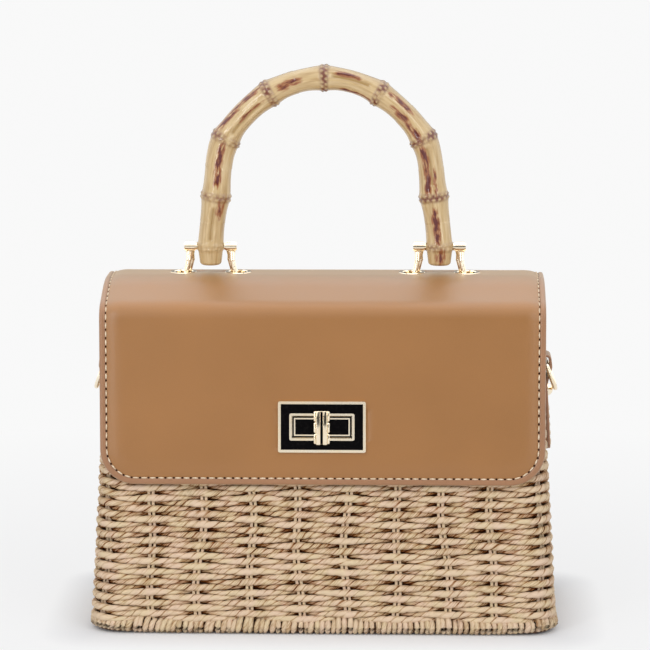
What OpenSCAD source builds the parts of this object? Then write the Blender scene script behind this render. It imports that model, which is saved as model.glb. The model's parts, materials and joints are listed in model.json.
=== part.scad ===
// Structured woven bag with a leather flap, a turn lock and an arched bamboo handle.
// Origin at the middle of the base, +Z up, the front faces -Y.

/* [Basket] */
// Width of the woven wall at the floor
base_w = 240; // [210:1:290]
// Depth of the woven wall at the floor
base_d = 104; // [90:1:130]
// Width of the woven wall at the rim
rim_w = 221; // [205:1:260]
// Depth of the woven wall at the rim
rim_d = 78; // [68:1:100]
// Height of the woven wall
basket_h = 166; // [140:1:210]
// Thickness of the woven wall
wall = 4; // [3:0.5:6]
// Radius of the upright corners, seen from above
corner_r = 14; // [10:1:22]
// Height of one row of rope
row_pitch = 2.8; // [2.4:0.1:6]
// How far the rope stands out, or dips in, where it passes a stake
weave_relief = 0.8; // [0.3:0.1:1]
// Gaps between stakes along the front
front_gaps = 9; // [5:1:13]
// Gaps between stakes along a side
side_gaps = 4; // [2:1:8]

/* [Foot braid] */
// Height of the braided border round the base
braid_h = 11; // [8:0.5:16]
// How far the braid stands out from the wall
braid_out = 1.4; // [0.8:0.1:3]
// How far the braid reaches in under the wall
braid_in = 2; // [1:0.1:2.5]
// Distance from one wrap of the braid to the next
wrap_pitch = 4.4; // [3.6:0.2:10]

/* [Lining and rim] */
// Thickness of the cloth lining
lining_t = 0.8; // [0.5:0.1:1.2]
// Thickness of the leather rim binding
binding_t = 1.4; // [1:0.1:1.8]
// Height of the rim binding on the outside
binding_h = 12; // [8:1:20]

/* [Flap] */
// Width of the flap
flap_w = 229; // [215:1:260]
// Thickness of the flap's outer leather
leather_t = 1.8; // [1.2:0.1:2.4]
// Thickness of the flap's inner leather
backing_t = 1.2; // [0.8:0.1:1.8]
// Space between the front of the basket and the flap
flap_gap = 2.4; // [2.2:0.1:4]
// Height of the flap's crest above the rim
crest_rise = 15; // [12:0.5:24]
// Height of the front bend above the rim
bend_rise = 5.5; // [5:0.5:8]
// Half depth of the flap's crest, between its two soft bends
crest_half = 17; // [16:0.5:22]
// Radius of the front bend
bend_r = 8; // [5:0.5:10]
// Radius of the soft bends beside the crest
crest_r = 50; // [30:1:55]
// Height of the flap's lower edge above the floor
flap_bottom = 79; // [60:1:86]
// Radius of the flap's lower corners
flap_corner_r = 18; // [8:1:30]
// Height of the leather yoke on the back
yoke_h = 46; // [30:1:70]
// Radius of the yoke's lower corners
yoke_corner_r = 12; // [4:1:20]

/* [Handle] */
// Distance between the handle's two ends
handle_span = 120; // [110:1:130]
// Height of the top knuckle above the pins
handle_rise = 88.4; // [75:1:110]
// Height of the handle's pins above the flap's crest
pin_rise = 14.4; // [13:0.1:16]
// Radius of the cane between its knuckles
cane_r = 6.6; // [5.5:0.1:6.8]
// Radius of the knuckles
knuckle_r = 8; // [7:0.1:9]
// Radius of the handle's ends at the pins
end_r = 7; // [6:0.1:7]
// Length of the handle's ends below the pins
end_drop = 9.8; // [8:0.1:10.4]
// Radius of the handle's pins
pin_r = 1.5; // [1.2:0.1:1.8]

/* [Posts and eyelets] */
// Distance from a handle end to each post's head
head_offset = 10.7; // [10.5:0.1:12]
// Distance from a handle end to each eyelet
eyelet_offset = 14.3; // [14:0.1:16]
// Outer radius of an eyelet
eyelet_r = 7.5; // [6.8:0.1:8]
// Inner radius of an eyelet
eyelet_bore_r = 4.75; // [4.5:0.05:5]
// Thickness of an eyelet's flange
eyelet_t = 1.2; // [0.8:0.1:1.6]
// Radius of a post's head
head_r = 2.7; // [2.4:0.1:3]
// Length of a post's head
head_l = 4.8; // [4:0.1:6]
// Radius of a post's legs
leg_r = 1.4; // [1:0.1:1.5]

/* [Turn lock] */
// Height of the lock's centre above the floor
lock_z = 109; // [100:1:112]
// Width of the lock's front plate
plate_w = 45; // [42:0.5:52]
// Height of the lock's front plate
plate_h = 26.4; // [24:0.1:30]
// Thickness of the lock's front plate
plate_t = 2; // [1.2:0.1:3]
// Width of the window in the plate
window_w = 31; // [28:0.5:34]
// Height of the window in the plate
window_h = 11.6; // [10:0.1:13]
// Length of the turning bar
toggle_l = 17.4; // [15:0.1:20]
// Width of the turning bar
toggle_w = 8.2; // [6:0.1:9]
// Thickness of the turning bar
toggle_t = 4; // [3:0.1:5]
// Radius of the turning bar's stem
stem_r = 2.2; // [1.5:0.1:2.6]

/* [Side rings] */
// Height of the side rings' bars above the floor
ring_z = 133.5; // [110:0.5:140]
// Clear width inside a side ring
ring_in_w = 15; // [13:0.5:20]
// Straight length of a side ring's arms
ring_arm = 5.5; // [4:0.1:8]
// Radius of a side ring's wire
wire_r = 1.2; // [1.2:0.1:2]
// Lean of a resting side ring away from the wall, in degrees
ring_lean = 17; // [14:0.5:24]
// Thickness of a side tab's leather
tab_t = 1.5; // [1.4:0.1:2]
// Width of a side tab
tab_w = 13.5; // [10:0.5:14]
// Length of a side tab below its ring
tab_l = 45; // [35:1:60]

/* [Hidden] */
$fn = 48;
// Room between soft pieces that lie on each other
fit = 0.3;
// Radial room of a turning fit
run = 0.05;
// Radial room of a pin held in its own body
seat = 0.03;

// Finishes
straw = [0.80, 0.70, 0.53];
caramel = [0.66, 0.46, 0.28];
suede = [0.58, 0.42, 0.28];
cotton = [0.86, 0.80, 0.70];
gold = [0.90, 0.76, 0.50];
cane = [0.83, 0.72, 0.50];

// Plan of the basket: its half width and half depth change evenly with height.
function half_w(z) = (base_w + (rim_w - base_w) * z / basket_h) / 2;
function half_d(z) = (base_d + (rim_d - base_d) * z / basket_h) / 2;
// Lean of the front wall and of the side walls from the vertical
front_lean = atan((base_d - rim_d) / 2 / basket_h);
side_lean = atan((base_w - rim_w) / 2 / basket_h);

// One side of a rounded rectangle, from the middle of one corner (s = 0) to the middle of the next (s = 1).
function side_point(s, half, depth, r) =
    let (arc = r * PI / 4, straight = 2 * (half - r), at = s * (2 * arc + straight))
    at < arc ? let (a = 225 + 45 * at / arc) [r - half + r * cos(a), r - depth + r * sin(a)]
    : at <= arc + straight ? [r - half + at - arc, -depth]
    : let (a = 270 + 45 * (at - arc - straight) / arc) [half - r + r * cos(a), r - depth + r * sin(a)];
// Station i of a side: evenly spaced, but the two beside a corner's middle stand at the ends of its arc.
function station(i, count, half, r) =
    let (arc = r * PI / 4, share = min(arc / (2 * arc + 2 * (half - r)), 1.5 / count))
    i == 1 ? share : i == count - 1 ? 1 - share : i / count;
function quarter_turn(p, times) = times == 0 ? p : quarter_turn([-p[1], p[0]], times - 1);

// A level loop round the basket at height z, anticlockwise from above, outset from the wall's mean face.
// It has per_front stations on the front and back and per_side on the sides; outsets holds one value per station.
function station_count(per_front, per_side) = 2 * (per_front + per_side);
function loop(z, outsets, per_front, per_side) = [
    for (side = [0 : 3])
    let (count = side % 2 == 0 ? per_front : per_side,
        first = floor((side + 1) / 2) * per_front + floor(side / 2) * per_side)
    for (i = [0 : count - 1])
    let (out = outsets[first + i],
        half = (side % 2 == 0 ? half_w(z) : half_d(z)) + out,
        depth = (side % 2 == 0 ? half_d(z) : half_w(z)) + out,
        s = station(i, count, half, corner_r + out),
        p = quarter_turn(side_point(s, half, depth, corner_r + out), side))
    [p[0], p[1], z]];
function even(value, count) = [for (i = [1 : count]) value];

// Skin over a list of rings with equally many points. A closed list has no caps; the others fan from a middle point.
function middle(ring) = [for (axis = [0 : 2]) sum_of(ring, axis) / len(ring)];
function sum_of(ring, axis) = [for (p = ring) p[axis]] * [for (p = ring) 1];
module skin(rings, closed = false) {
    levels = len(rings);
    count = len(rings[0]);
    low = levels * count;
    high = low + 1;
    last = (levels - 1) * count;
    bands = closed ? levels : levels - 1;
    sides = [for (l = [0 : bands - 1], i = [0 : count - 1])
        let (a = l * count + i, b = l * count + (i + 1) % count,
            c = ((l + 1) % levels) * count + i, d = ((l + 1) % levels) * count + (i + 1) % count)
        each [[a, c, d], [a, d, b]]];
    caps = closed ? [] : [for (i = [0 : count - 1])
        each [[low, i, (i + 1) % count], [high, last + (i + 1) % count, last + i]]];
    ends = closed ? [] : [middle(rings[0]), middle(rings[levels - 1])];
    polyhedron(points = concat([for (r = rings) each r], ends), faces = concat(sides, caps), convexity = 10);
}

// Woven basket: rows of rope pass in front of and behind upright stakes, which stand at every second station.
weave_front = 2 * front_gaps;
weave_side = 2 * side_gaps;
weave_count = station_count(weave_front, weave_side);
weave_low = braid_h + fit;
weave_high = basket_h - binding_h;
rows = floor((weave_high - weave_low) / row_pitch);
row_h = (weave_high - weave_low) / rows;
function weave_ring(row) = loop(weave_low + (row + 0.5) * row_h,
    [for (i = [0 : weave_count - 1]) i % 2 == 1 ? 0
        : (row + i / 2) % 2 == 0 ? weave_relief : -weave_relief],
    weave_front, weave_side);
function plain_ring(z, out) = loop(z, even(out, weave_count), weave_front, weave_side);

module woven_basket() {
    foot_out = -braid_in - fit;
    color(straw) difference() {
        skin(concat(
            [plain_ring(0, foot_out), plain_ring(weave_low, foot_out), plain_ring(weave_low, 0)],
            [for (row = [0 : rows - 1]) weave_ring(row)],
            [plain_ring(weave_high, -fit), plain_ring(basket_h, -fit),
                plain_ring(basket_h, -wall), plain_ring(wall, -wall)]));
        lock_rivet_holes();
    }
}

// Foot braid: rope wrapped over and over round the lower edge.
module foot_braid() {
    per_front = 2 * round((base_w - 2 * corner_r) / wrap_pitch);
    per_side = 2 * round((base_d - 2 * corner_r) / wrap_pitch);
    count = station_count(per_front, per_side);
    groove = 0.7;
    function wraps(out) = [for (i = [0 : count - 1]) out - (i % 2) * groove];
    section = [[-0.4, 0], [braid_out - 0.3, braid_h * 0.25], [braid_out, braid_h * 0.65], [-0.2, braid_h]];
    rings = concat(
        [for (p = section) loop(p[1], wraps(p[0]), per_front, per_side)],
        [for (z = [braid_h, 0]) loop(z, even(-braid_in, count), per_front, per_side)]);
    color(straw) skin(rings, closed = true);
}

// Rim binding: a leather strip folded over the mouth, its inner leg over the lining's edge.
lining_out = -wall - fit;
lining_in = lining_out - lining_t;
module rim_binding() {
    inner = lining_in - fit;
    inner_low = basket_h - binding_h * 0.8;
    section = [[binding_t - fit, weave_high + fit], [binding_t, basket_h + fit + binding_t],
        [inner - binding_t, basket_h + fit + binding_t], [inner - binding_t, inner_low],
        [inner, inner_low], [inner, basket_h + fit], [0, basket_h + fit], [0, weave_high + fit]];
    color(caramel) skin([for (p = section) plain_ring(p[1], p[0])], closed = true);
}

// Lining: a cloth bag that drops into the basket and is caught by the binding.
module lining() {
    floor_z = wall + fit;
    color(cotton) difference() {
        skin([plain_ring(floor_z, lining_out), plain_ring(basket_h, lining_out),
            plain_ring(basket_h, lining_in), plain_ring(floor_z + lining_t, lining_in)]);
        lock_rivet_holes();
    }
}

// Places children on the front wall at height z: X to the right, Y up the wall, Z outwards from its mean face.
module on_front(z) {
    translate([0, -half_d(z), z]) rotate([90 - front_lean, 0, 0]) children();
}
module rounded_rect(w, h, r) {
    square([w - 2 * r, h], center = true);
    square([w, h - 2 * r], center = true);
    for (x = [-1, 1], y = [-1, 1]) translate([x * (w / 2 - r), y * (h / 2 - r)]) circle(r);
}
module slab(w, h, r, from, to) {
    translate([0, 0, from]) linear_extrude(to - from) rounded_rect(w, h, r);
}

// Flap profile in the YZ plane: lower edge, front bend, the crest's two soft bends and the hinge line.
flap_t = leather_t + backing_t;
crest_z = basket_h + crest_rise;
flap_face = flap_gap + flap_t;
yoke_t = leather_t;
yoke_low = weave_relief + fit;
function front_y(z) = -half_d(z) - flap_face / cos(front_lean);
hinge_z = basket_h + fit + binding_t + flap_t + 0.9;
hinge_y = half_d(hinge_z) + yoke_low + yoke_t + 0.3;
bend_z = basket_h + bend_rise;
hinge_room = 0.5;
function flap_corners() = [[front_y(flap_bottom), flap_bottom], [front_y(bend_z), bend_z],
    [-crest_half, crest_z], [crest_half, crest_z], [hinge_y, hinge_z]];
flap_radii = [0, bend_r, crest_r, crest_r, 0];
function unit(v) = v / norm(v);
function left_of(v) = [-v[1], v[0]];

// The profile moved inwards by depth, with every bend rounded about its own centre.
function bend_points(i, depth) =
    let (p = flap_corners(), n_in = left_of(unit(p[i] - p[i - 1])), n_out = left_of(unit(p[i + 1] - p[i])),
        corner = p[i] - depth * (n_in + n_out) / (1 + n_in * n_out),
        r = flap_radii[i] - depth, turn = acos(n_in * n_out),
        centre = corner - r * (n_in + n_out) / (1 + n_in * n_out), start = atan2(n_in[1], n_in[0]))
    [for (k = [0 : 8]) let (a = start - turn * k / 8) centre + r * [cos(a), sin(a)]];
function flap_line(depth) =
    let (p = flap_corners(), first = left_of(unit(p[1] - p[0])), last = left_of(unit(p[4] - p[3])),
        along = unit(p[3] - p[4]))
    concat([p[0] - depth * first], bend_points(1, depth), bend_points(2, depth), bend_points(3, depth),
        [p[4] + hinge_room * along - depth * last]);
function backwards(list) = [for (i = [len(list) - 1 : -1 : 0]) list[i]];

// Sheet of the flap between two depths under its outer face, with rounded lower corners, holes and window.
cutout_room = 0.4;
collar_w = window_w + 4.6;
collar_h = window_h + 4.6;
module flap_sheet(outer, inner) {
    front_reach = half_d(0) + 4 * flap_face;
    difference() {
        intersection() {
            translate([-flap_w / 2, 0, 0]) rotate([90, 0, 90]) linear_extrude(flap_w)
                polygon(concat(flap_line(outer), backwards(flap_line(inner))));
            translate([0, front_reach, 0]) rotate([90, 0, 0]) linear_extrude(2 * front_reach)
                translate([0, (flap_bottom + 2 * crest_z) / 2])
                rounded_rect(flap_w, 2 * crest_z - flap_bottom, flap_corner_r);
        }
        for (x = eyelet_places) translate([x, 0, crest_z - 2 * flap_t])
            cylinder(h = 3 * flap_t, r = barrel_r + seat);
        on_front(lock_z) translate([0, 0, flap_gap - 1])
            linear_extrude(flap_t + 2) square([collar_w + cutout_room, collar_h + cutout_room], center = true);
    }
}
module flap_leather() { color(caramel) flap_sheet(0, leather_t); }
module flap_backing() { color(suede) flap_sheet(leather_t, flap_t); }

// Back yoke: the flap's leather carried on down the back wall, where it is sewn to the basket.
module back_yoke() {
    low = basket_h - yoke_h;
    yoke_w = rim_w - 0.7 * corner_r;
    function back_y(z, out) = half_d(z) + out / cos(front_lean);
    top = hinge_z - flap_t - 0.4;
    profile = [[back_y(low, yoke_low), low], [back_y(low, yoke_low + yoke_t), low],
        [back_y(top, yoke_low + yoke_t), top], [back_y(top, binding_t + fit), top],
        [back_y(basket_h - binding_h, binding_t + fit), basket_h - binding_h],
        [back_y(basket_h - binding_h - 2, yoke_low), basket_h - binding_h - 2]];
    color(caramel) intersection() {
        translate([-yoke_w / 2, 0, 0]) rotate([90, 0, 90]) linear_extrude(yoke_w) polygon(profile);
        translate([0, base_d, 0]) rotate([90, 0, 0]) linear_extrude(base_d)
            translate([0, low + yoke_h]) rounded_rect(yoke_w, 2 * yoke_h, yoke_corner_r);
    }
}

// Turn lock. Heights along the front wall's normal, from the wall's mean face outwards.
base_low = weave_relief + 0.1;
base_t = 1.3;
clamp_t = 1;
boss_room = 0.6;
boss_high = flap_face + plate_t - 0.4;
frame_t = 0.5;
toggle_low = flap_face + plate_t + frame_t + 0.4;
stem_depth = 3;
rivet_r = 1.2;
rivet_offset = window_w / 2 - 5;
back_face = lining_in - 0.1;
back_t = 1.2;

module at_rivets() {
    for (x = [-rivet_offset, rivet_offset]) translate([x, 0, 0]) children();
}
module lock_rivet_holes() {
    on_front(lock_z) at_rivets() translate([0, 0, lining_in - wall])
        cylinder(h = 3 * wall, r = rivet_r + seat);
}
module lock_base() {
    color(gold) on_front(lock_z) difference() {
        union() {
            slab(collar_w - 1, collar_h - 1, 1, base_low, base_low + base_t);
            slab(window_w - 2 * boss_room, window_h - 2 * boss_room, 0.8, base_low, boss_high);
        }
        translate([0, 0, boss_high - stem_depth]) cylinder(h = stem_depth + 1, r = stem_r + run);
        at_rivets() translate([0, 0, base_low - 1]) cylinder(h = base_t + 1, r = rivet_r + seat);
    }
}
module lock_back_plate() {
    color(gold) on_front(lock_z) difference() {
        slab(window_w, window_h, 2, back_face - back_t, back_face);
        at_rivets() translate([0, 0, back_face - back_t - 1]) cylinder(h = back_t + 2, r = rivet_r + seat);
    }
}
module lock_rivets() {
    head_t = 0.9;
    color(gold) on_front(lock_z) at_rivets() {
        translate([0, 0, back_face - back_t]) cylinder(h = base_low + base_t - 0.3 - back_face + back_t, r = rivet_r);
        translate([0, 0, back_face - back_t - head_t]) cylinder(h = head_t, r1 = rivet_r + 0.5, r2 = rivet_r + 1);
    }
}
module lock_clamp() {
    color(gold) on_front(lock_z) difference() {
        slab(plate_w - 1, plate_h - 1, 1.5, flap_gap - clamp_t, flap_gap);
        translate([0, 0, flap_gap - 2 * clamp_t]) linear_extrude(3 * clamp_t)
            square([collar_w + cutout_room, collar_h + cutout_room], center = true);
    }
}

// Front plate with a raised edge, two raised frames round the window and a collar through the flap.
module raised_frame(w, h, width, from) {
    translate([0, 0, from]) linear_extrude(frame_t) difference() {
        rounded_rect(w, h, 1);
        square([w - 2 * width, h - 2 * width], center = true);
    }
}
module lock_plate() {
    top = flap_face + plate_t;
    color(gold) on_front(lock_z) difference() {
        union() {
            slab(plate_w, plate_h, 1.5, flap_face, top);
            raised_frame(plate_w, plate_h, 1.4, top);
            raised_frame(window_w + 2.4, window_h + 2.4, 1, top);
            translate([0, 0, flap_gap]) linear_extrude(flap_t) square([collar_w, collar_h], center = true);
        }
        translate([0, 0, flap_gap - 1]) linear_extrude(flap_t + plate_t + 3)
            square([window_w, window_h], center = true);
    }
}

// Turning bar: two ribs in three short lengths on a flat core, and the stem that turns in the boss.
module lock_toggle() {
    rib_r = toggle_t / 2;
    rib_x = toggle_w / 2 - rib_r;
    pieces = 3;
    groove = 0.5;
    rib_l = (toggle_l - groove * (pieces - 1)) / pieces;
    color(gold) on_front(lock_z) {
        translate([0, 0, boss_high - stem_depth + 0.2])
            cylinder(h = toggle_low - boss_high + stem_depth + 0.8, r = stem_r);
        translate([0, 0, toggle_low + 0.6]) linear_extrude(toggle_t - 1.6)
            square([toggle_w - 1, toggle_l - 0.4], center = true);
        for (x = [-rib_x, rib_x], i = [0 : pieces - 1])
            translate([x, i * (rib_l + groove) - toggle_l / 2, toggle_low + rib_r])
                rotate([-90, 0, 0]) cylinder(h = rib_l, r = rib_r);
    }
}

// Places children on the right wall at height z: X down the wall, Y to the back, Z outwards from its mean face.
module on_right(z) {
    translate([half_w(z), 0, z]) rotate([0, 90 - side_lean, 0]) children();
}

// Side tab: a leather strip folded round the ring's bar, both layers sewn flat to the wall below it.
tab_low = weave_relief + 0.2;
eye_r = wire_r + 0.3;
bar_out = tab_low + tab_t + eye_r;
tab_face = tab_low + 2 * tab_t;
rest_reach = ring_arm + ring_in_w / 2 + wire_r;
module side_tab() {
    color(caramel) on_right(ring_z) difference() {
        union() {
            translate([0, tab_w / 2, bar_out]) rotate([90, 0, 0]) cylinder(h = tab_w, r = eye_r + tab_t - 0.02);
            translate([0, tab_w / 2, 0]) rotate([90, 0, 0]) linear_extrude(tab_w)
                polygon([[0, tab_low], [0, bar_out + eye_r + tab_t * 0.5], [1.5, bar_out + eye_r + tab_t * 0.75],
                    [rest_reach - 4.2, tab_face], [tab_l, tab_face], [tab_l, tab_low]]);
        }
        translate([0, tab_w, bar_out]) rotate([90, 0, 0]) cylinder(h = 2 * tab_w, r = eye_r);
        translate([rest_reach, 0, 0]) cylinder(h = 4 * tab_face, r = rivet_r + seat);
    }
}

// Rivet through the tab; the resting ring leans on its dome.
module tab_rivet() {
    lip_r = 3.4;
    dome_h = bar_out + rest_reach * tan(ring_lean) - wire_r / cos(ring_lean) - fit - tab_face;
    dome_r = (lip_r * lip_r + dome_h * dome_h) / (2 * dome_h);
    color(gold) on_right(ring_z) translate([rest_reach, 0, 0]) {
        translate([0, 0, tab_low]) cylinder(h = tab_face - tab_low + dome_h / 2, r = rivet_r);
        intersection() {
            translate([0, 0, tab_face + dome_h - dome_r]) sphere(dome_r);
            translate([0, 0, tab_face]) cylinder(h = dome_h + 1, r = lip_r + 1);
        }
    }
}

// D ring: a straight bar in the tab's fold, two short arms and a half round.
module d_ring() {
    bow_r = ring_in_w / 2 + wire_r;
    color(gold) on_right(ring_z) translate([0, 0, bar_out]) rotate([0, -ring_lean, 0]) {
        rotate([90, 0, 0]) translate([0, 0, -bow_r]) cylinder(h = 2 * bow_r, r = wire_r);
        for (y = [-bow_r, bow_r]) translate([0, y, 0]) {
            sphere(wire_r);
            rotate([0, 90, 0]) cylinder(h = ring_arm, r = wire_r);
        }
        translate([ring_arm, 0, 0]) rotate([0, 0, -90]) rotate_extrude(angle = 180)
            translate([bow_r, 0]) circle(wire_r);
    }
}

// Handle hardware. Each handle end hangs on a pin between two posts that stand through eyelets in the crest.
half_span = handle_span / 2;
barrel_r = eyelet_bore_r + 0.45;
washer_t = 0.8;
flap_under = crest_z - flap_t;
plate_top = flap_under - washer_t;
anchor_t = 1.5;
stud_r = 1.5;
nut_h = 2.4;
pin_z = crest_z + pin_rise;
eyelet_places = [for (side = [-1, 1], out = [-1, 1]) side * half_span + out * eyelet_offset];

module eyelet(x) {
    color(gold) translate([x, 0, 0]) rotate_extrude() polygon([
        [eyelet_bore_r, plate_top + 0.05], [barrel_r, plate_top + 0.05], [barrel_r, crest_z], [eyelet_r, crest_z],
        [eyelet_r, crest_z + eyelet_t * 0.4], [eyelet_r - eyelet_t * 0.6, crest_z + eyelet_t],
        [eyelet_bore_r + eyelet_t * 0.4, crest_z + eyelet_t], [eyelet_bore_r, crest_z + eyelet_t * 0.6]]);
}
module eyelet_washers() {
    color(gold) for (x = eyelet_places) translate([x, 0, plate_top]) difference() {
        cylinder(h = washer_t, r = eyelet_r - 0.3);
        translate([0, 0, -1]) cylinder(h = washer_t + 2, r = barrel_r + seat);
    }
}

module rod(from, to, r) {
    d = to - from;
    translate(from) rotate([0, acos(d[2] / norm(d)), atan2(d[1], d[0])]) cylinder(h = norm(d), r = r);
}
foot_t = 1.4;
foot_high = plate_top - crest_z + foot_t;
// A leg runs straight down from the head, then slants outwards into the eyelet.
module leg(y, beside, foot_x) {
    top = [beside * 0.8, y * 0.55, pin_rise - head_r];
    knee = [beside, y, pin_rise * 0.52];
    foot = [foot_x, y, foot_high - 0.5];
    rod(top, knee, leg_r);
    translate(knee) sphere(leg_r + 0.06);
    rod(knee, foot, leg_r);
}
// Post to the right of a handle end; out is the direction it leans in.
module post(end_x, out) {
    foot_shift = eyelet_offset - head_offset;
    foot_r = eyelet_bore_r - 0.5;
    collar_l = head_offset - head_l / 2 - end_r - fit;
    color(gold) translate([end_x, 0, crest_z]) mirror([out < 0 ? 1 : 0, 0, 0]) translate([head_offset, 0, 0]) difference() {
        union() {
            translate([-head_l / 2, 0, pin_rise]) rotate([0, 90, 0]) cylinder(h = head_l, r = head_r);
            translate([-head_l / 2 - collar_l, 0, pin_rise]) rotate([0, 90, 0]) cylinder(h = collar_l + 1, r = head_r - 0.7);
            translate([0, 0, pin_rise - head_r - 1.4]) cylinder(h = 2.2, r1 = leg_r + 0.7, r2 = leg_r + 1.1);
            leg(-2, 0.75, foot_shift - 0.8);
            leg(2, -0.75, foot_shift - 1.5);
            translate([foot_shift, 0, plate_top - crest_z]) cylinder(h = foot_t, r = foot_r);
            translate([foot_shift, 0, plate_top - crest_z - anchor_t - nut_h - 0.4])
                cylinder(h = anchor_t + nut_h + 1, r = stud_r);
        }
        translate([-head_offset, 0, pin_rise]) rotate([0, 90, 0]) cylinder(h = 2 * head_offset, r = pin_r + seat);
    }
}
module anchor_plate(end_x) {
    width = 2 * eyelet_r - 2;
    color(gold) translate([end_x, 0, plate_top - anchor_t]) difference() {
        linear_extrude(anchor_t) rounded_rect(2 * eyelet_offset + width, width, 3);
        for (x = [-eyelet_offset, eyelet_offset]) translate([x, 0, -1]) cylinder(h = anchor_t + 2, r = stud_r + seat);
    }
}
module post_nuts() {
    color(gold) for (x = eyelet_places) translate([x, 0, plate_top - anchor_t - nut_h]) difference() {
        cylinder(h = nut_h, r = 2.1 * stud_r, $fn = 6);
        translate([0, 0, -1]) cylinder(h = nut_h + 2, r = stud_r + seat);
    }
}
module handle_pin(end_x) {
    cap_t = 0.6;
    reach = head_offset + head_l / 2;
    color(gold) translate([end_x, 0, pin_z]) rotate([0, 90, 0]) {
        translate([0, 0, -reach]) cylinder(h = 2 * reach, r = pin_r);
        for (z = [-reach - cap_t, reach]) translate([0, 0, z]) cylinder(h = cap_t, r = head_r - 0.6);
    }
}

// Bamboo handle: cane bent into an arch, thick at its knuckles and slim between them.
// Knuckles from the right end to the top, as shares of the half span and of the rise.
knuckles = [[1, 0], [0.95, 0.3], [0.856, 0.642], [0.474, 0.909], [0, 1]];
arch = [for (i = [-4 : 4]) let (k = knuckles[4 - abs(i)])
    [sign(i) * k[0] * half_span, pin_z + k[1] * handle_rise]];
arch_segments = len(arch) - 1;
function arch_end(i) = i < 0 ? [arch[0][0], 2 * arch[0][1] - arch[1][1]]
    : i > arch_segments ? [arch[arch_segments][0], 2 * arch[arch_segments][1] - arch[arch_segments - 1][1]] : arch[i];
function spline(i, t) = let (a = arch_end(i - 1), b = arch[i], c = arch[i + 1], d = arch_end(i + 2))
    (2 * b + (c - a) * t + (2 * a - 5 * b + 4 * c - d) * t * t + (3 * b - a - 3 * c + d) * t * t * t) / 2;
function spline_way(i, t) = let (a = arch_end(i - 1), b = arch[i], c = arch[i + 1], d = arch_end(i + 2))
    unit(c - a + 2 * (2 * a - 5 * b + 4 * c - d) * t + 3 * (3 * b - a - 3 * c + d) * t * t);
cane_sides = 12;
function cane_ring(p, way, r) = [for (k = [0 : cane_sides - 1]) let (a = 360 * k / cane_sides)
    [p[0] + r * cos(a) * way[1], r * sin(a), p[1] - r * cos(a) * way[0]]];
// Share of the knuckle's extra thickness at stations along one length of cane
swell = [[0, 1], [0.06, 0.55], [0.2, 0.15], [0.5, 0], [0.8, 0.15], [0.94, 0.55]];
function knuckle_size(i) = i == 0 || i == arch_segments ? end_r : knuckle_r;
function cane_size(i, t, share) = cane_r + share * (knuckle_size(t < 0.5 ? i : i + 1) - cane_r);
// Blunt end below a pin: drop below it as a share of end_drop, and radius as a share of end_r
blunt = [[1, 0.62], [0.9, 0.78], [0.3, 0.95]];
module bamboo_handle() {
    left = arch[0];
    right = arch[arch_segments];
    rings = concat(
        [for (b = blunt) cane_ring([left[0], left[1] - b[0] * end_drop], [0, 1], b[1] * end_r)],
        [for (i = [0 : arch_segments - 1], s = swell)
            cane_ring(spline(i, s[0]), spline_way(i, s[0]), cane_size(i, s[0], s[1]))],
        [cane_ring(right, [0, -1], end_r)],
        [for (b = backwards(blunt)) cane_ring([right[0], right[1] - b[0] * end_drop], [0, -1], b[1] * end_r)]);
    color(cane) difference() {
        skin(rings);
        for (x = [-half_span, half_span]) translate([x - 2 * end_r, 0, pin_z]) rotate([0, 90, 0])
            cylinder(h = 4 * end_r, r = pin_r + run);
    }
}

woven_basket();
foot_braid();
rim_binding();
lining();
back_yoke();
lock_base();
lock_back_plate();
lock_rivets();
mirror([1, 0, 0]) side_tab();  // side_tab_left
side_tab();  // side_tab_right
mirror([1, 0, 0]) tab_rivet();  // tab_rivet_left
tab_rivet();  // tab_rivet_right
mirror([1, 0, 0]) d_ring();  // d_ring_left
d_ring();  // d_ring_right
flap_leather();
flap_backing();
lock_plate();
lock_clamp();
lock_toggle();
eyelet(eyelet_places[0]);  // eyelet_left_outer
eyelet(eyelet_places[1]);  // eyelet_left_inner
eyelet(eyelet_places[2]);  // eyelet_right_inner
eyelet(eyelet_places[3]);  // eyelet_right_outer
eyelet_washers();
post(-half_span, -1);  // post_left_outer
post(-half_span, 1);  // post_left_inner
post(half_span, -1);  // post_right_inner
post(half_span, 1);  // post_right_outer
anchor_plate(-half_span);  // anchor_plate_left
anchor_plate(half_span);  // anchor_plate_right
post_nuts();
handle_pin(-half_span);  // handle_pin_left
handle_pin(half_span);  // handle_pin_right
bamboo_handle();
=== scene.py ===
import json
import math
import random

import bmesh
import bpy
import numpy as np
from mathutils import Matrix, Vector


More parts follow.
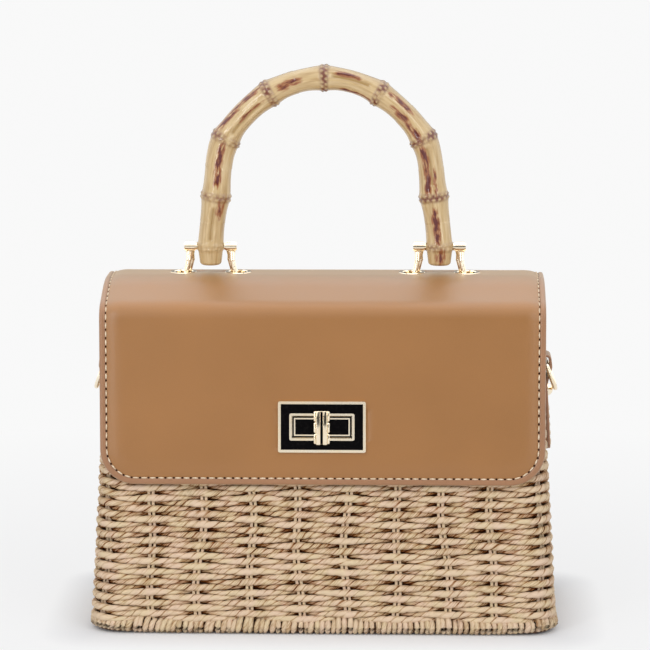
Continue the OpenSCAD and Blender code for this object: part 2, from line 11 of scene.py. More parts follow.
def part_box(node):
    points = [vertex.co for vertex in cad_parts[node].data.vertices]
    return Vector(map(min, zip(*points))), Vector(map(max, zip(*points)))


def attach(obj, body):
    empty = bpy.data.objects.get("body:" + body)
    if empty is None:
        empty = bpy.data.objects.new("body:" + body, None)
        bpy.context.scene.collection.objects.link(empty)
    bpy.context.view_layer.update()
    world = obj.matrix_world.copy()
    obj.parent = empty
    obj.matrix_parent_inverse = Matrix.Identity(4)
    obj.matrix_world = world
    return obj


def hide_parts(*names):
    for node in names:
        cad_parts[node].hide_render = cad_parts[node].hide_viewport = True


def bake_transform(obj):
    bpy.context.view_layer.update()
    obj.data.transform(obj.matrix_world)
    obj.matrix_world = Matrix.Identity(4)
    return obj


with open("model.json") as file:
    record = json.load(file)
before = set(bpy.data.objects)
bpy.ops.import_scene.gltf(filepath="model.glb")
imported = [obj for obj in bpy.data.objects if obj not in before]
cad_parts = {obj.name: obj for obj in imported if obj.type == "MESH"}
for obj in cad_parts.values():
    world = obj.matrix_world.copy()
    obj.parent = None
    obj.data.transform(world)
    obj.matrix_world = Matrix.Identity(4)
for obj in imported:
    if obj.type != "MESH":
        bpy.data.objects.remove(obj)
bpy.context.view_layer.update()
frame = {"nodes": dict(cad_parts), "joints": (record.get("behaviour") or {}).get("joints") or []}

# Studio: a pale floor that runs out into a white background, with two wide soft boxes in front of the bag and
# a faint one above. Two narrow ones draw bright lines along the cane and the gold. The camera stands one and
# a half metres in front of the bag, a little above its flap.
mm = 0.001
white = 0.945
scene = bpy.context.scene
scene.view_settings.view_transform = "Standard"


def add_node(tree, kind, inputs=None, **settings):
    made = tree.nodes.new(kind)
    for key, value in settings.items():
        setattr(made, key, value)
    for key, value in (inputs or {}).items():
        if isinstance(value, bpy.types.NodeSocket):
            tree.links.new(value, made.inputs[key])
        else:
            made.inputs[key].default_value = value
    return made


def sums(tree, operation, *values):
    return add_node(tree, "ShaderNodeMath", dict(enumerate(values)), operation=operation).outputs[0]


def vectors(tree, operation, *values):
    return add_node(tree, "ShaderNodeVectorMath", dict(enumerate(values)), operation=operation)


def carried(tree, value, low, high, to_low=0.0, to_high=1.0):
    # A value carried from one range to another, and held at its ends
    ranges = {"Value": value, "From Min": low, "From Max": high, "To Min": to_low, "To Max": to_high}
    return add_node(tree, "ShaderNodeMapRange", ranges).outputs[0]


def own_place(tree):
    return add_node(tree, "ShaderNodeTexCoord").outputs["Object"]


def start_material(name, **sockets):
    made = bpy.data.materials.new(name)
    made.use_nodes = True
    shader = made.node_tree.nodes["Principled BSDF"]
    for key, value in sockets.items():
        shader.inputs[key.replace("_", " ")].default_value = value
    return made, made.node_tree, shader


def finish_mesh(name, shape, materials, sharp=35):
    mesh = bpy.data.meshes.new(name)
    shape.to_mesh(mesh)
    shape.free()
    for material in materials:
        mesh.materials.append(material)
    mesh.shade_smooth()
    mesh.set_sharp_from_angle(angle=math.radians(sharp))
    made = bpy.data.objects.new(name, mesh)
    scene.collection.objects.link(made)
    return made


def plain_sight(tree, *kinds):
    # One for rays of these kinds, such as those that come straight from the camera
    seen = add_node(tree, "ShaderNodeLightPath")
    found = seen.outputs[f"Is {kinds[0]} Ray"]
    for kind in kinds[1:]:
        found = sums(tree, "MAXIMUM", found, seen.outputs[f"Is {kind} Ray"])
    return found


# Close to the bag the paper keeps its shadow. Further away it glows white.
foot_reach = (0.118, 0.05, 0)
shadow_reach = 0.03
fade_reach = 0.4
near_glow = 0.8
paper, paper_tree, paper_shader = start_material("studio_paper", Roughness=0.9,
                                                 Base_Color=(0.83, 0.845, 0.88, 1))
away = vectors(paper_tree, "ABSOLUTE", own_place(paper_tree)).outputs[0]
away = vectors(paper_tree, "SUBTRACT", away, foot_reach).outputs[0]
away = vectors(paper_tree, "MAXIMUM", away, (0, 0, 0)).outputs[0]
away = vectors(paper_tree, "LENGTH", away).outputs["Value"]
near = carried(paper_tree, away, 0, shadow_reach, to_high=near_glow)
fade = carried(paper_tree, away, shadow_reach, fade_reach, to_high=1 - near_glow)
fade = sums(paper_tree, "ADD", near, fade)
fade = sums(paper_tree, "MULTIPLY", fade, plain_sight(paper_tree, "Camera", "Glossy", "Transmission"))
glow = add_node(paper_tree, "ShaderNodeEmission", {"Color": (white, white, white, 1)}).outputs[0]
paper_mix = add_node(paper_tree, "ShaderNodeMixShader", {0: fade, 1: paper_shader.outputs[0], 2: glow})
paper_tree.links.new(paper_mix.outputs[0], paper_tree.nodes["Material Output"].inputs["Surface"])
ground = bmesh.new()
bmesh.ops.create_circle(ground, cap_ends=True, segments=64, radius=6)
studio = finish_mesh("studio_floor", ground, [paper])

# Glossy rays see white walls beside and above the bag, a dark end far behind it and the dark room behind the
# camera.
world = bpy.data.worlds.new("studio")
scene.world = world
world.use_nodes = True
sky = world.node_tree
room_light = 0.53
sky_place = add_node(sky, "ShaderNodeTexCoord").outputs["Generated"]
sky_way = add_node(sky, "ShaderNodeSeparateXYZ", {0: sky_place}).outputs
walls = carried(sky, sky_way["Y"], -0.85, -0.1, 0.05, 1.5)
far_back = carried(sky, sky_way["Y"], 0.8, 0.97, 1.0, 0.25)
overhead = carried(sky, sky_way["Z"], 0.6, 0.9, to_high=1.25)
room = sums(sky, "MULTIPLY_ADD", walls, far_back, overhead)
seen_straight = plain_sight(sky, "Camera", "Transmission")
light = add_node(sky, "ShaderNodeMix", {0: seen_straight, 2: room_light, 3: white}).outputs[0]
light = add_node(sky, "ShaderNodeMix", {0: plain_sight(sky, "Glossy"), 2: light, 3: room}).outputs[0]
sky.nodes["Background"].inputs["Color"].default_value = (1, 1, 1, 1)
sky.links.new(light, sky.nodes["Background"].inputs["Strength"])


def soft_box(name, place, aim, size, power):
    lamp = bpy.data.lights.new(name, "AREA")
    lamp.shape = "RECTANGLE"
    lamp.size, lamp.size_y = size
    lamp.energy = power
    made = bpy.data.objects.new(name, lamp)
    scene.collection.objects.link(made)
    made.location = place
    made.rotation_euler = (Vector(aim) - Vector(place)).to_track_quat("-Z", "Y").to_euler()


soft_box("key_box", (-0.65, -1.05, 0.9), (0, 0, 0.12), (1.7, 1.2), 5.4)
soft_box("fill_box", (1.0, -1.0, 0.9), (0, 0, 0.12), (1.5, 1.2), 6.0)
soft_box("left_strip_box", (-0.62, -0.95, 0.45), (0, -0.05, 0.15), (0.12, 0.9), 2.6)
soft_box("right_strip_box", (0.62, -0.95, 0.45), (0, -0.05, 0.15), (0.12, 0.9), 1.2)
soft_box("top_box", (0, -0.3, 1.4), (0, 0, 0.15), (1.2, 0.3), 0.3)

camera_place = Vector((0.056, -1.523, 0.425))
camera_aim = Vector((-0.0001, 0, 0.1536))
camera_roll = -0.2
lens = bpy.data.cameras.new("camera")
lens.lens = 162.8
lens.sensor_width = 36
camera = bpy.data.objects.new("camera", lens)
scene.collection.objects.link(camera)
camera.location = camera_place
look = (camera_aim - camera_place).to_track_quat("-Z", "Y")
roll = Matrix.Rotation(math.radians(camera_roll), 3, "Z").to_quaternion()
camera.rotation_euler = (look @ roll).to_euler()
scene.camera = camera

# Woven basket: soft two-ply paper rope in level rows that pass over one stake and under the next.
# The ropes swell where they lie over a stake and are pinched where they dive behind one.
base_w = 240 * mm
rim_w = 221 * mm
base_d = 104 * mm
rim_d = 78 * mm
basket_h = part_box("woven_basket")[1].z
corner_r = 14 * mm
corner_spread = 0.7
front_gaps = 9
side_gaps = 4
stakes = 2 * (front_gaps + side_gaps)
corner_stops = (0, front_gaps, stakes / 2, stakes - side_gaps, stakes)


def half_width(z):
    return (base_w + (rim_w - base_w) * z / basket_h) / 2


def half_depth(z):
    return (base_d + (rim_d - base_d) * z / basket_h) / 2


def loop_length(z):
    return 4 * (half_width(z) + half_depth(z)) - (8 - 2 * math.pi) * corner_r


def near_corner(along):
    # One at a corner of the basket, fading out along its sides
    return math.exp(-(min(abs(along - stop) for stop in corner_stops) / corner_spread) ** 2)


def wall_point(along, z, out):
    # along counts stakes, from the front left corner anticlockwise as seen from above
    along = along % stakes
    half, depth = half_width(z) + out, half_depth(z) + out
    lengths = (front_gaps, side_gaps, front_gaps, side_gaps)
    side = 0
    while along >= lengths[side]:
        along -= lengths[side]
        side += 1
    if side % 2:
        half, depth = depth, half
    r = corner_r + out
    arc = r * math.pi / 4
    straight = 2 * (half - r)
    way = along / lengths[side] * (2 * arc + straight)
    if way < arc:
        turn = math.radians(225) + way / r
        x, y = r - half + r * math.cos(turn), r - depth + r * math.sin(turn)
    elif way <= arc + straight:
        x, y = r - half + way - arc, -depth
    else:
        turn = math.radians(270) + (way - arc - straight) / r
        x, y = half - r + r * math.cos(turn), r - depth + r * math.sin(turn)
    for quarter in range(side):
        x, y = -y, x
    return x, y, z


def stake_wander(along, z):
    # How far a stake strays to one side at a height, in stakes
    return 0.05 * math.sin(1.9 * along + 47 * z) + 0.04 * math.sin(0.7 * along - 110 * z)


def round_points(r, reaches):
    # A rope's section: as many points round it as there are reaches, each a share of r
    turns = [2 * math.pi * i / len(reaches) for i in range(len(reaches))]
    return [(r * reach * math.cos(turn), r * reach * math.sin(turn)) for turn, reach in zip(turns, reaches)]


def swept_mesh(name, section, lines, closed, twist="Z_UP"):
    # lines holds, for every strand, its points as rows of x, y, z, radius and tilt
    outline = bpy.data.curves.new(name + "_section", "CURVE")
    outline.dimensions = "2D"
    edge = outline.splines.new("POLY")
    edge.points.add(len(section) - 1)
    for spot, place in zip(edge.points, section):
        spot.co = (*place, 0, 1)
    edge.use_cyclic_u = True
    profile = bpy.data.objects.new(name + "_section", outline)
    curve = bpy.data.curves.new(name, "CURVE")
    curve.dimensions = "3D"
    curve.twist_mode = twist
    curve.bevel_mode = "OBJECT"
    curve.bevel_object = profile
    for rows in lines:
        rows = np.asarray(rows)
        line = curve.splines.new("POLY")
        line.points.add(len(rows) - 1)
        line.points.foreach_set("co", np.column_stack([rows[:, :3], np.ones(len(rows))]).ravel())
        line.points.foreach_set("radius", rows[:, 3])
        line.points.foreach_set("tilt", rows[:, 4])
        line.use_cyclic_u = closed
    swept = bpy.data.objects.new(name, curve)
    scene.collection.objects.link(swept)
    mesh = bpy.data.meshes.new_from_object(swept.evaluated_get(bpy.context.evaluated_depsgraph_get()))
    bpy.data.objects.remove(swept)
    bpy.data.curves.remove(curve)
    bpy.data.objects.remove(profile)
    mesh.name = name
    if not closed:
        ends = bmesh.new()
        ends.from_mesh(mesh)
        bmesh.ops.holes_fill(ends, edges=[e for e in ends.edges if e.is_boundary])
        ends.to_mesh(mesh)
        ends.free()
    mesh.shade_smooth()
    made = bpy.data.objects.new(name, mesh)
    scene.collection.objects.link(made)
    return made


def mark(piece, name, values):
    values = np.asarray(values, float)
    kind = "FLOAT_VECTOR" if values.ndim == 2 else "FLOAT"
    layer = piece.data.attributes.new(name, kind, "POINT")
    layer.data.foreach_set("vector" if kind == "FLOAT_VECTOR" else "value", values.ravel())


# How strongly painted shade darkens a strand's paper towards its neighbours
side_shade = 1.5
tone_shift = 7


def mark_strands(piece, lines, section, tones, sides):
    # Writes where each point lies on its strand, how deep between the plies, and a tone: the paper's own
    # lightness, with painted shade to both sides, towards the strand's neighbours. A sixth value in a
    # strand's rows paints shade on it where it runs behind.
    turn = np.arange(len(section)) / len(section) * 2 * math.pi
    reach = np.array([math.hypot(*p) for p in section])
    reach = 1 - (reach.max() - reach) / max(np.ptp(reach), 1e-9)
    places = np.empty(3 * len(piece.data.vertices))
    piece.data.vertices.foreach_get("co", places)
    places = places.reshape(-1, len(section), 3)
    first = 0
    strand, groove, tone_and_painted_shade = [], [], []
    for rows, shade, side in zip(lines, tones, sides):
        rows = np.asarray(rows)
        offset = (places[first:first + len(rows)] - rows[:, None, :3]).reshape(-1, 3)
        first += len(rows)
        beside = (offset @ np.asarray(side)) ** 2 / np.maximum((offset ** 2).sum(axis=1), 1e-12)
        steps = np.linalg.norm(np.diff(rows[:, :3], axis=0, prepend=rows[:1, :3]), axis=1)
        along = np.repeat(np.cumsum(steps), len(turn))
        strand.append(np.column_stack([along + tone_shift * shade, np.tile(np.cos(turn) * mm, len(rows)),
                                       np.tile(np.sin(turn) * mm, len(rows))]))
        groove.append(np.tile(reach, len(rows)))
        # Painted shade: the tone drops where the strand runs behind and towards its neighbours
        behind = rows[:, 5] if rows.shape[1] > 5 else np.zeros(len(rows))
        tone_and_painted_shade.append(np.repeat(shade - behind, len(turn)) - side_shade * beside)
    mark(piece, "strand", np.concatenate(strand))
    mark(piece, "groove", np.concatenate(groove))
    mark(piece, "tone_and_painted_shade", np.concatenate(tone_and_painted_shade))


def shades(tree, factor, *stops):
    ramp = add_node(tree, "ShaderNodeValToRGB", {"Fac": factor})
    ramp.color_ramp.elements[0].position = stops[0][0]
    ramp.color_ramp.elements[0].color = (*stops[0][1], 1)
    ramp.color_ramp.elements[1].position = stops[-1][0]
    ramp.color_ramp.elements[1].color = (*stops[-1][1], 1)
    for place, colour in stops[1:-1]:
        ramp.color_ramp.elements.new(place).color = (*colour, 1)
    return ramp.outputs["Color"]


def laid_over(tree, factor, under, over):
    return add_node(tree, "ShaderNodeMix", {0: factor, 6: under, 7: over}, data_type="RGBA").outputs[2]


def written(tree, name, output="Fac"):
    # What the mesh holds at each of its points under this name
    return add_node(tree, "ShaderNodeAttribute", attribute_name=name).outputs[output]


def noise(tree, place, scale, detail=2.0, rough=0.5):
    inputs = {"Vector": place, "Scale": scale, "Detail": detail, "Roughness": rough}
    return add_node(tree, "ShaderNodeTexNoise", inputs).outputs["Fac"]


def roughen(tree, shader, height, strength, depth):
    bump = add_node(tree, "ShaderNodeBump", {"Height": height, "Strength": strength, "Distance": depth})
    tree.links.new(bump.outputs[0], shader.inputs["Normal"])


def paper_rope(name, *colours):
    # Paper twisted into rope: colours run from painted shade deep between the plies to the lightest fibres
    made, tree, shader = start_material(name, Roughness=0.65, Specular_IOR_Level=0.05)
    strand = written(tree, "strand", "Vector")
    long_way = add_node(tree, "ShaderNodeMapping", {"Vector": strand, "Scale": (160, 2600, 2600)}).outputs[0]
    fibres = noise(tree, long_way, 1.0, detail=3.0, rough=0.6)
    patches = noise(tree, strand, 110.0)
    # Painted shade in the grooves between the plies, fainter in random patches
    lift = carried(tree, written(tree, "groove"), 0, 0.45, -0.65, 0.0)
    patchy_groove_shade = carried(tree, patches, 0.35, 0.65, 1.0, 0.35)
    mixed = sums(tree, "MULTIPLY_ADD", lift, patchy_groove_shade, -0.235)
    mixed = sums(tree, "MULTIPLY_ADD", fibres, 1.6, mixed)
    mixed = sums(tree, "MULTIPLY_ADD", patches, 0.7, mixed)
    mixed = sums(tree, "MULTIPLY_ADD", written(tree, "tone_and_painted_shade"), 0.16, mixed)
    places = (0.0, 0.25, 0.5, 0.85)
    greener = [(0.96 * r, 1.01 * g, 0.9 * b) for r, g, b in colours]
    warm_paper = shades(tree, mixed, *zip(places, colours))
    green_paper = shades(tree, mixed, *zip(places, greener))
    tints = carried(tree, noise(tree, strand, 70.0, detail=1.0), 0.4, 0.6)
    tree.links.new(laid_over(tree, tints, warm_paper, green_paper), shader.inputs["Base Color"])
    roughen(tree, shader, fibres, 0.6, 0.0005)
    return made


straw = paper_rope("straw_rope", (0.06, 0.01, 0.002), (0.25, 0.09, 0.024),
                   (0.50, 0.325, 0.197), (0.72, 0.545, 0.40))
braid_top = 6.4 * mm
weave_top = 165 * mm
row_count = 58
row_h = (weave_top - braid_top) / row_count
rope_out = -0.75 * mm
rope_dive = 2.7 * mm
rope_bulge = 0.3 * mm
dive_width = 7.8
swell_width = 8
# How much painted shade darkens a rope where it dives behind a stake
dive_shade = 4.6
row_stray = 0.42 * mm
wall_stray = 0.12 * mm
twist_slip = 1.1
wave_sum = 2.6
corner_fill = 1.6 * mm
binding_low = 154.4 * mm
binding_fade = 4 * mm
bound_in = 0.7 * mm
rope_lay = 9.6 * mm
ring_step = 1.35 * mm
two_ply = round_points(1.6 * mm, (1, 0.97, 0.84, 0.97) * 2)
chance = random.Random(7)


def rope_thickness(swell, dive, uneven, bound):
    # A share of the rope's radius: fat over a stake, thin behind one and under the rim binding
    return 0.95 + (0.38 - 0.14 * bound) * swell - 0.27 * dive + 0.08 * uneven - 0.2 * bound


def rope_row(row):
    z_row = braid_top + (row + 0.5) * row_h
    length = loop_length(z_row)
    count = round(length / ring_step)
    turns = round(length / rope_lay * chance.uniform(0.85, 1.15))
    gap = length / stakes / mm
    bound = min(max((z_row - binding_low) / binding_fade + 1, 0), 1)
    waves = [(chance.randint(3, 40), chance.uniform(0, 6.28), chance.uniform(0.3, 1)) for wave in range(4)]
    points = []
    for i in range(count):
        share = i / count
        along = stakes * share
        way_round = 2 * math.pi * share
        uneven = sum(size * math.sin(times * way_round + start) for times, start, size in waves) / wave_sum
        turn = (along - stake_wander(along, z_row) + row) % 2
        dive = math.exp(-((turn - 1) * gap / dive_width) ** 2)
        swell = math.exp(-(min(turn, 2 - turn) * gap / swell_width) ** 2)
        out = rope_out - rope_dive * dive + rope_bulge * swell - bound_in * bound
        out += corner_fill * (1 - bound) * near_corner(along)
        place = wall_point(along, z_row + row_stray * uneven, out + wall_stray * uneven)
        size = rope_thickness(swell, dive, uneven, bound)
        points.append((*place, size, -turns * way_round - twist_slip * uneven, dive_shade * dive))
    return points


bands = [range(0, 20), range(20, 39), range(39, row_count)]
for number, band in enumerate(bands):
    ropes = [rope_row(row) for row in band]
    weave = swept_mesh(f"woven_rope_{number + 1}", two_ply, ropes, closed=True)
    mark_strands(weave, ropes, two_ply, [chance.uniform(-1, 1) for rope in ropes], [(0, 0, 1)] * len(ropes))
    weave.data.materials.append(straw)
    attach(weave, "basket")
    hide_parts("woven_basket")

# Woven floor: the same rope in straight runs from side to side, each over and under in turn.
# It lies under the lining, and the foot braid holds the ends of its runs.
floor_z = 2.4 * mm
floor_pitch = 2.9 * mm
floor_edge_x = 3 * mm
floor_edge_y = 4 * mm
floor_step = 2.2 * mm
floor_wave = 26 * mm
floor_lift = 0.4 * mm
floor_thick = 0.95
floor_shade = 0.6
floor_runs = []
floor_count = int(2 * (half_depth(0) - floor_edge_y) / floor_pitch)
for run in range(floor_count):
    y = (run + 0.5 - floor_count / 2) * floor_pitch
    round_off = max(0, abs(y) - half_depth(0) + corner_r)
    reach = half_width(0) - floor_edge_x - corner_r + math.sqrt(max(corner_r ** 2 - round_off ** 2, 0))
    steps = round(2 * reach / floor_step)
    floor_run = []
    for i in range(steps + 1):
        x = reach * (2 * i / steps - 1)
        z = floor_z + floor_lift * math.cos(math.pi * (x / floor_wave + run))
        floor_run.append((x, y, z, floor_thick, -2 * math.pi * x / rope_lay, floor_shade))
    floor_runs.append(floor_run)
floor_rope = swept_mesh("woven_floor", two_ply, floor_runs, closed=False)
mark_strands(floor_rope, floor_runs, two_ply, [chance.uniform(-1, 1) for run in floor_runs],
             [(0, 1, 0)] * len(floor_runs))
floor_rope.data.materials.append(straw)
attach(floor_rope, "basket")
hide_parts("woven_basket")

# Stakes: each is a pair of thin paper strands that stands upright inside the wall, from the foot to the rim.
# They show as small bright dashes in the dark gaps between the ropes.
strand_r = 0.85 * mm
pair_half = 0.044
stake_low = braid_top - 4 * mm
stake_out = rope_out - 0.5 * mm
stake_steps = 55
round_strand = round_points(strand_r, (1,) * 6)
stake_lines = []
for stake in range(stakes):
    for beside in (-pair_half, pair_half):
        stake_line = []
        for step in range(stake_steps + 1):
            z = stake_low + step * (weave_top - stake_low) / stake_steps
            along = stake + stake_wander(stake, z) + beside
            stake_line.append((*wall_point(along, z, stake_out), 1, 0))
        stake_lines.append(stake_line)
stake_strands = swept_mesh("stake_strands", round_strand, stake_lines, closed=False)
mark_strands(stake_strands, stake_lines, round_strand, [chance.uniform(0.6, 1.6) for line in stake_lines],
             [(0, 0, 0)] * len(stake_lines))
stake_strands.data.materials.append(straw)
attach(stake_strands, "basket")

# Foot braid: rope wrapped over and over round the lower edge, each turn lying a little aslant.
# At every other stake its end rises over the last row. The bag stands on it.
wrap_step = 2.8 * mm
wrap_count = round(loop_length(0) / wrap_step)
wrap_r = 1.62 * mm
wrap_h = 8
wrap_spin = 0.35
end_rise = 0.4
end_middle = 0.93
end_half = 0.16
corner_lift = 1.8
corner_h = 7

# A turn's path, from inside the wall over the edge and in under the floor: distance out of the wall, height
# and thickness.
wrap_path = [(-2.6, 6.9, 0.6), (-0.8, 6.8, 0.85), (0.45, 5.5, 1.0), (0.9, 3.9, 1.05), (1.05, 2.4, 1.0),
             (0.75, 1.5, 0.75), (-0.8, 1.15, 0.55), (-2.6, 1.15, 0.55), (-4.4, 1.15, 0.5)]
wrap_section = round_points(wrap_r, (1,) * 7)
wraps = []
wrap_sides = []
for wrap in range(wrap_count):
    start = stakes * wrap / wrap_count + chance.uniform(-0.02, 0.02)
    lean = chance.uniform(0.0, 0.07)
    fatness = chance.uniform(0.83, 1.03)
    spin = chance.uniform(0, 3.14)
    rise = end_rise if abs(start % 2 - end_middle) < end_half else 0
    corner = near_corner(start)
    wrap_line = []
    for step, (out, z, size) in enumerate(wrap_path):
        along = start + lean * (z / wrap_h - 0.5)
        height = z * (1 + rise * (z / wrap_h) ** 2) + corner_lift * corner * (1 - z / corner_h)
        beyond = out + corner * (0.15 * z - 0.4)
        place = wall_point(along, height * mm, beyond * mm)
        wrap_line.append((*place, size * fatness, spin + wrap_spin * step))
    wraps.append(wrap_line)
    wrap_way = Vector(wall_point(start + 0.05, 0, 0)) - Vector(wall_point(start - 0.05, 0, 0))
    wrap_sides.append(wrap_way.normalized())
foot_wraps = swept_mesh("foot_wraps", wrap_section, wraps, closed=False)
mark_strands(foot_wraps, wraps, wrap_section, [chance.uniform(-1.2, 1.0) for wrap in wraps], wrap_sides)
foot_wraps.data.materials.append(straw)


def wall_band(section, count=260):
    # A closed band round the basket; section holds points of its cross section as distance out and height
    shape = bmesh.new()
    bmesh.ops.create_circle(shape, segments=count, radius=1)
    number = shape.verts.layers.int.new("number")
    for i, vert in enumerate(shape.verts):
        vert[number] = i
    ring = shape.verts[:] + shape.edges[:]
    for step, (out, z) in enumerate(section + section[:1]):
        if step > 0:
            edges = [g for g in ring if isinstance(g, bmesh.types.BMEdge)]
            ring = bmesh.ops.extrude_edge_only(shape, edges=edges)["geom"]
        for vert in ring:
            if isinstance(vert, bmesh.types.BMVert):
                vert.co = wall_point(stakes * vert[number] / count, z * mm, out * mm)
    bmesh.ops.remove_doubles(shape, verts=shape.verts, dist=0.001 * mm)
    bmesh.ops.recalc_face_normals(shape, faces=shape.faces)
    return shape


def speckle(tree, shader, scale, dark, pale, detail=2.0, stops=(0.3, 0.7)):
    # Two tones of one colour in small spots, which other sockets can use as well
    spots = noise(tree, own_place(tree), scale, detail)
    tree.links.new(shades(tree, spots, (stops[0], dark), (stops[1], pale)), shader.inputs["Base Color"])
    return spots


# The core's near-black colour is painted shade, seen in the gaps between the wraps
core_in_painted_shade, core_tree, core_shader = start_material("core_in_painted_shade", Roughness=0.8)
speckle(core_tree, core_shader, 400.0, (0.05, 0.018, 0.008), (0.14, 0.06, 0.026))
core_section = [(-2.6, 1), (-0.9, 1), (-0.3, 3.5), (-0.9, 5.6), (-2.6, 6.2)]
foot_core = finish_mesh("foot_core", wall_band(core_section), [core_in_painted_shade])
for piece in (foot_wraps, foot_core):
    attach(piece, "basket")
    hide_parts("foot_braid")

# Lining: a bag of brown cotton that hangs inside the basket and is sewn in under the rim binding.
# Very dark, partly as painted shade: seen through the weave it makes the small gaps dark.
cotton, cotton_tree, cotton_shader = start_material("brown_cotton", Roughness=0.9, Specular_IOR_Level=0.15)
cotton_waves = {"Vector": own_place(cotton_tree), "Scale": 900.0, "Distortion": 0.6}
cotton_threads = [add_node(cotton_tree, "ShaderNodeTexWave", cotton_waves, bands_direction=way).outputs["Fac"]
                  for way in ("X", "Y", "Z")]
cotton_weave = sums(cotton_tree, "MULTIPLY_ADD", cotton_threads[0], cotton_threads[2], 0.0)
cotton_weave = sums(cotton_tree, "MULTIPLY_ADD", cotton_threads[1], cotton_threads[2], cotton_weave)
cotton_colour = shades(cotton_tree, cotton_weave, (0.0, (0.09, 0.043, 0.022)), (1.0, (0.12, 0.06, 0.031)))
cotton_tree.links.new(cotton_colour, cotton_shader.inputs["Base Color"])
roughen(cotton_tree, cotton_shader, cotton_weave, 0.15, 0.0002)
lining_shape = wall_band([(-4.4, 4.4), (-4.4, 60), (-4.4, 120), (-4.4, 165.6),
                          (-5.1, 165.6), (-5.3, 120), (-5.5, 60), (-5.2, 9), (-6.2, 6), (-9, 5.2)])
lining_floor = [f for f in lining_shape.faces if all(v.co.z < 5.3 * mm for v in f.verts)]
bmesh.ops.delete(lining_shape, geom=lining_floor, context="FACES_ONLY")
for level in (4.4, 5.2):
    rim_edges = [e for e in lining_shape.edges
                 if e.is_boundary and all(abs(v.co.z - level * mm) < 0.01 * mm for v in e.verts)]
    bmesh.ops.contextual_create(lining_shape, geom=rim_edges)
bmesh.ops.recalc_face_normals(lining_shape, faces=lining_shape.faces)
lining = finish_mesh("lining_bag", lining_shape, [cotton])
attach(lining, "basket")
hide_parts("lining")

# Rim binding: a strip of the flap's leather folded over the mouth of the basket and sewn through the wall.
# It covers the ends of the stakes and the top of the lining. The leather is smooth, with fine pores and
# a soft shine.
def leather(name, colour, grain=1.0, roughness=0.44):
    made, tree, shader = start_material(name, Specular_IOR_Level=0.5, Sheen_Weight=0.5, Sheen_Roughness=0.4,
                                        Sheen_Tint=(0.97, 0.9, 0.68, 1), Coat_Weight=0.7,
                                        Coat_Roughness=0.34)
    place = own_place(tree)
    clouds = noise(tree, place, 22.0, detail=4.0)
    pores = add_node(tree, "ShaderNodeTexVoronoi", {"Vector": place, "Scale": 1700.0}).outputs["Distance"]
    mixed = sums(tree, "MULTIPLY_ADD", pores, 0.3, clouds)
    dark = tuple(0.93 * c for c in colour)
    pale = tuple(1.05 * c for c in colour)
    tree.links.new(shades(tree, mixed, (0.3, dark), (0.95, pale)), shader.inputs["Base Color"])
    rough = carried(tree, clouds, 0.3, 0.7, roughness - 0.05, roughness + 0.06)
    tree.links.new(rough, shader.inputs["Roughness"])
    height = sums(tree, "MULTIPLY_ADD", pores, 0.6, noise(tree, place, 900.0, detail=3.0))
    roughen(tree, shader, height, 0.12 * grain, 0.0003)
    return made


caramel = leather("caramel_leather", (0.318, 0.129, 0.021))
seam_band = leather("seam_band_leather", (0.32, 0.145, 0.057), roughness=0.5)
painted_edge = leather("painted_edge", (0.30, 0.13, 0.06), grain=0.4, roughness=0.4)
suede = leather("suede", (0.29, 0.18, 0.10), grain=3.0, roughness=0.85)
binding_section = [(1.0, binding_low / mm), (1.4, 155), (1.4, 166.8), (0.9, 167.5), (-0.2, 167.7),
                   (-5.4, 167.7), (-6.6, 167.4), (-6.8, 166.6), (-6.8, 157), (-6.4, 156.4), (-5.6, 156.4),
                   (-5.4, 166.2), (0, 166.2), (0, binding_low / mm)]
binding = finish_mesh("rim_strip", wall_band(binding_section), [caramel])
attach(binding, "basket")
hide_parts("rim_binding")

# Flap: caramel leather on a thin board with a suede side, sewn together near the edge with cream thread.
# It is padded a little inside the seam, and runs from the front over the crest to the fold at the back.
flap_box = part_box("flap_leather")
flap_half = flap_box[1].x
flap_low = flap_box[0].z
crest_z = flap_box[1].z
crest_front = -17 * mm
crest_back = 9 * mm
front_bend = 170 * mm
flap_off = 5.4 * mm
flap_thick = 3 * mm
flap_corner = 18 * mm
front_lean = math.atan((base_d - rim_d) / 2 / basket_h)


def bent_line(corners, radii):
    # A line with rounded bends: its length, and a function that gives the place and the left-hand side at any
    # distance along it
    corners = [Vector(corner) for corner in corners]
    runs = []
    at = corners[0]
    for i, r in enumerate(radii, start=1):
        way_in = (corners[i] - corners[i - 1]).normalized()
        way_out = (corners[i + 1] - corners[i]).normalized()
        turn = math.atan2(way_in.cross(way_out), way_in.dot(way_out))
        reach = r * math.tan(abs(turn) / 2)
        start = corners[i] - reach * way_in
        runs.append(((start - at).length, at, way_in, 0))
        runs.append((r * abs(turn), start, way_in, turn))
        at = corners[i] + reach * way_out
    runs.append(((corners[-1] - at).length, at, (corners[-1] - at).normalized(), 0))

    def place_at(s):
        for number, (length, start, way, turn) in enumerate(runs):
            if s <= length or number == len(runs) - 1:
                break
            s -= length
        side = Vector((-way.y, way.x))
        if turn == 0:
            return start + s * way, side
        bend = turn * s / length
        middle = start + side * length / turn
        side = Matrix.Rotation(bend, 2) @ side
        return middle - side * length / turn, side

    return sum(run[0] for run in runs), place_at


def front_face(z):
    return -half_depth(z) - flap_off / math.cos(front_lean)


joint_places = {joint["name"]: Vector(joint["pos_m"]) for joint in frame["joints"]}
hinge = joint_places["flap_hinge"].yz
flap_end = hinge + Vector((-2.81, 1.06)) * mm
flap_corners = [(front_face(flap_low), flap_low), (front_face(front_bend), front_bend),
                (crest_front, crest_z), (crest_back, crest_z), flap_end]
flap_line, flap_at = bent_line(flap_corners, [10 * mm, 50 * mm, 30 * mm])


def flap_point(x, s, out):
    place, side = flap_at(s)
    return Vector((x, place.x + side.x * out, place.y + side.y * out))


